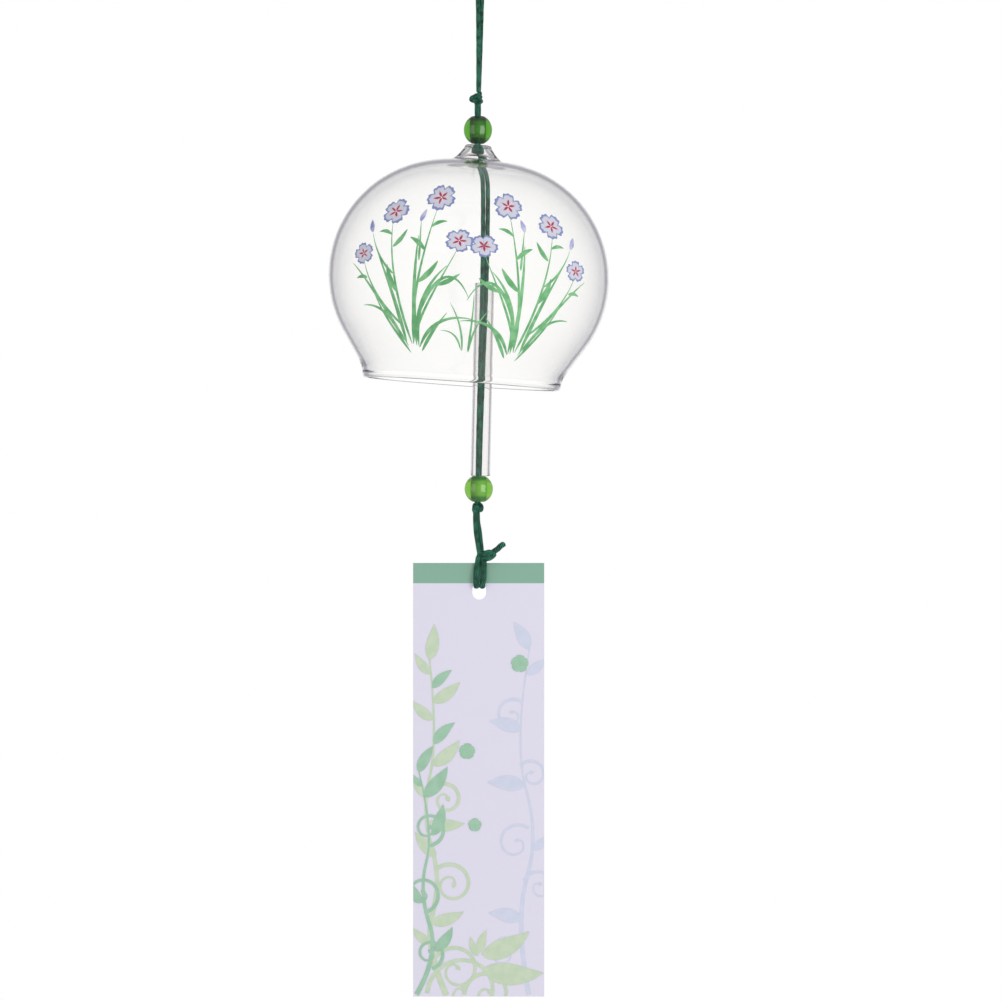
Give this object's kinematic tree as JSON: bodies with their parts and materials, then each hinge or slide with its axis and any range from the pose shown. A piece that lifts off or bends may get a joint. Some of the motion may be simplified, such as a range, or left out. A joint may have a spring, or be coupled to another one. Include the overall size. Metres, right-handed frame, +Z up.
{
  "type": "furin wind bell",
  "caption": "Blown glass wind bell on a doubled cord, with beads, a glass tube clapper and a hanging paper strip.",
  "frame": {"origin": "inside the crown of the hanging loop, where it sits on its hook", "axes": "+Z up along the hanging line, +X to the right and +Y away from whoever reads the strip"},
  "size_m": [0.0799, 0.08, 0.3253],
  "materials": {
    "bell_glass": "clear, blown",
    "bead_glass": "clear green",
    "cord": "satin",
    "paper": "matte print"
  },
  "bodies": {
    "hanger": {"hanging_loop": "cord", "top_knot": "cord"},
    "neck_line": {"neck_cord": "cord"},
    "upper_bead": {"top_bead": "bead_glass"},
    "neck": {"neck_knot": "cord"},
    "bell": {"glass_bell": "bell_glass"},
    "wrap": {"neck_wrap": "cord"},
    "clapper_line": {"inner_cord": "cord"},
    "clapper": {"clapper_tube": "bell_glass"},
    "stop_bead": {"lower_bead": "bead_glass"},
    "stop_knot": {"lower_knot": "cord"},
    "strip_line": {"lower_cord": "cord", "strip_knot": "cord", "cord_tails": "cord", "strip_loop": "cord"},
    "strip": {"paper_strip": "paper"}
  },
  "joints": [
    {"name": "cord_turn", "type": "hinge", "parent": "hanger", "child": "neck_line", "pos_m": [-0.00068, 0, -0.0699], "axis": [0, 0, 1], "range_deg": [-180, 180]},
    {"name": "top_bead_turn", "type": "hinge", "parent": "neck_line", "child": "upper_bead", "pos_m": [-0.00063, 0, -0.0768], "axis": [0, 0, 1], "continuous": true},
    {"name": "bell_tilt", "type": "hinge", "parent": "neck_line", "child": "neck", "pos_m": [-0.00072, 0, -0.08365], "axis": [0, 1, 0], "range_deg": [-16, 8]},
    {"name": "bell_turn", "type": "hinge", "parent": "neck", "child": "bell", "pos_m": [-0.00072, 0, -0.08365], "axis": [0.0715, 0, 0.9974], "continuous": true},
    {"name": "clapper_turn", "type": "hinge", "parent": "neck_line", "child": "wrap", "pos_m": [0.0002, 0, -0.0864], "axis": [0, 0, 1], "range_deg": [-180, 180]},
    {"name": "clapper_swing", "type": "hinge", "parent": "wrap", "child": "clapper_line", "pos_m": [0.0002, 0, -0.0864], "axis": [0, -1, 0], "range_deg": [-24.6, 14.6]},
    {"name": "tube_lift", "type": "slide", "parent": "clapper_line", "child": "clapper", "axis": [0.0227, 0, 0.9997], "range_m": [0, 0.024]},
    {"name": "lower_bead_turn", "type": "hinge", "parent": "clapper_line", "child": "stop_bead", "pos_m": [-0.0004, 0, -0.1792], "axis": [0, 0, 1], "continuous": true},
    {"name": "strip_turn", "type": "hinge", "parent": "clapper_line", "child": "stop_knot", "pos_m": [-0.00085, 0, -0.18491], "axis": [0, 0, 1], "range_deg": [-180, 180]},
    {"name": "strip_swing", "type": "hinge", "parent": "stop_knot", "child": "strip_line", "pos_m": [-0.00085, 0, -0.18491], "axis": [1, 0, 0], "range_deg": [-75, 75]},
    {"name": "strip_rock", "type": "hinge", "parent": "strip_line", "child": "strip", "pos_m": [-0.00025, 0, -0.20791], "axis": [0, 1, 0], "range_deg": [-10, 10]}
  ]
}
